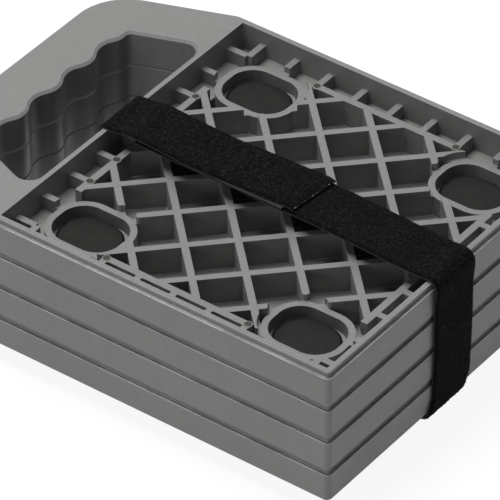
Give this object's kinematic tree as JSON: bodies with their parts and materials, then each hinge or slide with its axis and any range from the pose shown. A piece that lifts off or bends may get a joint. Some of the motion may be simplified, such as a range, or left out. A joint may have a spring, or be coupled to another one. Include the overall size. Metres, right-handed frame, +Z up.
{
  "type": "leveling block set",
  "caption": "Stack of square leveling pads with ribbed trays, rubber feet and a scalloped carrying handle, held together by a hook-and-loop strap.",
  "frame": {"origin": "bottom centre of the whole set's bounding box, on the plane the rubber feet stand on", "axes": "+X from the carrying handle to the far end, +Y to the back, +Z up through the stack"},
  "size_m": [0.3068, 0.2292, 0.1045],
  "materials": {
    "pad_plastic": "moulded grey plastic, soft sheen with a faint grain",
    "foot_rubber": "dull black rubber",
    "strap_fabric": "black napped loop tape",
    "hook_tape": "black hook tape"
  },
  "bodies": {
    "stack": {"pad_1": "pad_plastic", "pad_2": "pad_plastic", "pad_3": "pad_plastic", "pad_4": "pad_plastic", "foot_1_handle_front": "foot_rubber", "foot_1_handle_back": "foot_rubber", "foot_1_far_front": "foot_rubber", "foot_1_far_back": "foot_rubber", "foot_2_handle_front": "foot_rubber", "foot_2_handle_back": "foot_rubber", "foot_2_far_front": "foot_rubber", "foot_2_far_back": "foot_rubber", "foot_3_handle_front": "foot_rubber", "foot_3_handle_back": "foot_rubber", "foot_3_far_front": "foot_rubber", "foot_3_far_back": "foot_rubber", "foot_4_handle_front": "foot_rubber", "foot_4_handle_back": "foot_rubber", "foot_4_far_front": "foot_rubber", "foot_4_far_back": "foot_rubber", "strap_band": "strap_fabric"},
    "tail": {"strap_tail": "strap_fabric", "hook_patch": "hook_tape"}
  },
  "joints": [
    {"name": "strap_tail_peel", "type": "hinge", "parent": "stack", "child": "tail", "pos_m": [-0.0503, 0, 0.1045], "axis": [0, -1, 0], "range_deg": [0, 150]}
  ]
}
